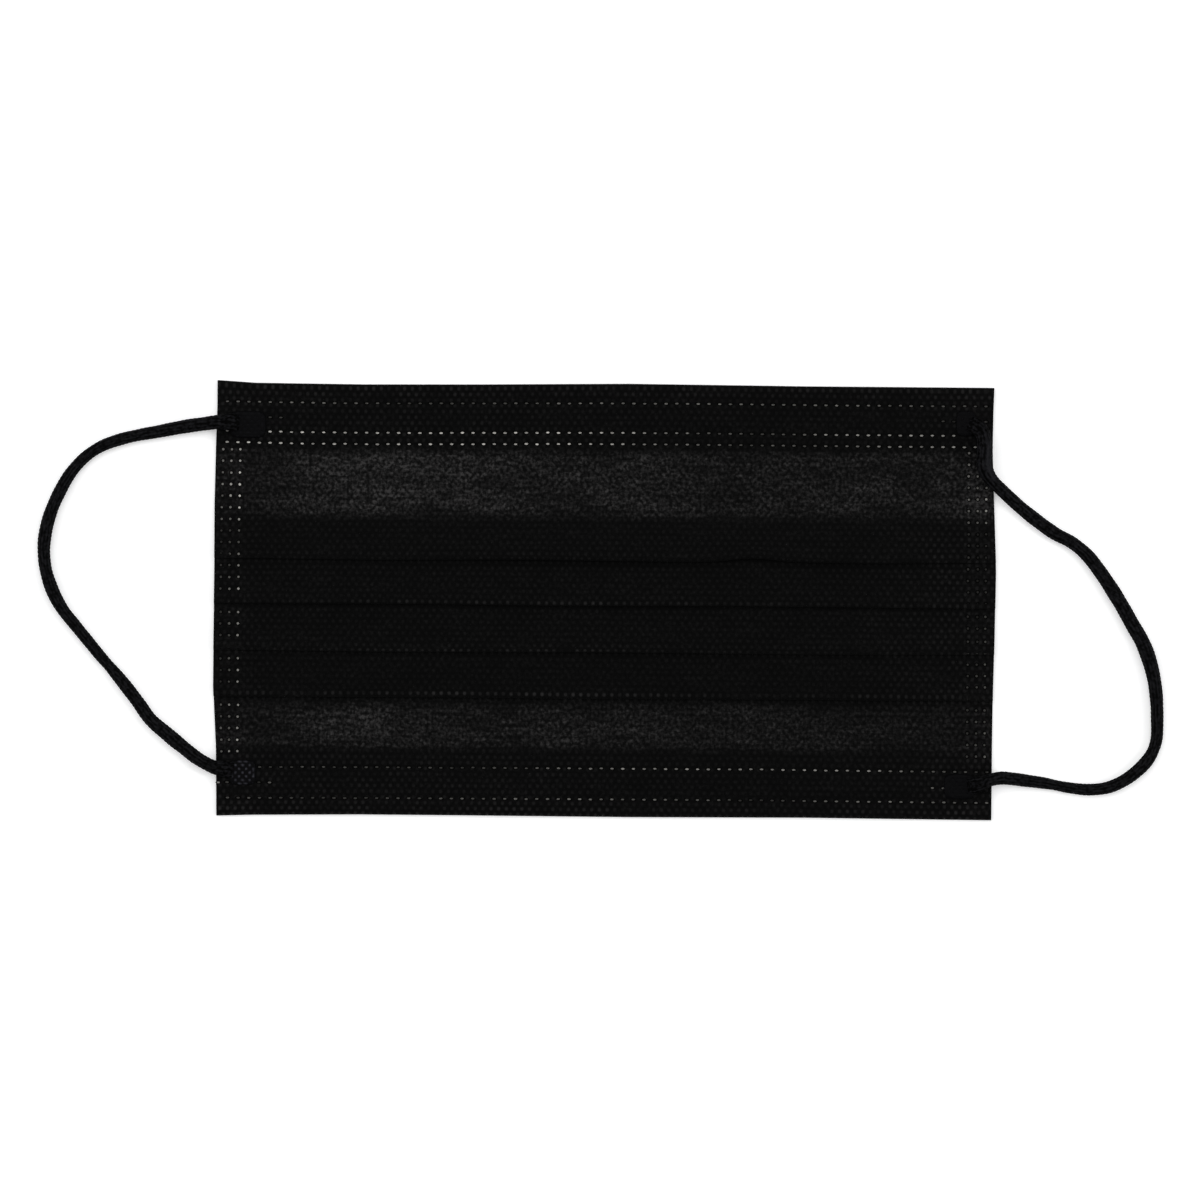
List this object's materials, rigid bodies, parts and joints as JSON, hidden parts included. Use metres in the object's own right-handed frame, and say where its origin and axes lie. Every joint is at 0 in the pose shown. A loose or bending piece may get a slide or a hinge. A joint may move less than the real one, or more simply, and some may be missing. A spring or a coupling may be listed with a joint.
{
  "type": "earloop face mask",
  "caption": "Flat-folded pleated face mask of black nonwoven fabric, with turned-under hems, welded side seams and round elastic ear loops laid out loosely at its sides.",
  "frame": {"origin": "under the middle of the mask's box, on the surface it lies on, ear loops not counted", "axes": "+X towards the wearer's left ear loop, to the right when the outer face is looked at; +Y towards the nose edge; +Z out of the outer face"},
  "size_m": [0.2541, 0.098, 0.0057],
  "materials": {
    "nonwoven_laminate": "matt black spunbond polypropylene nonwoven with a fine dot emboss",
    "elastic_cord": "soft knitted black polyester and elastane round cord",
    "welded_cord_end": "cord flattened and knurled by an ultrasonic weld, slightly glossy"
  },
  "bodies": {
    "root": {"pleated_body": "nonwoven_laminate", "left_ear_loop": "elastic_cord", "right_ear_loop": "elastic_cord", "left_upper_cord_weld": "welded_cord_end", "left_lower_cord_weld": "welded_cord_end", "right_upper_cord_weld": "welded_cord_end", "right_lower_cord_weld": "welded_cord_end"}
  },
  "joints": []
}
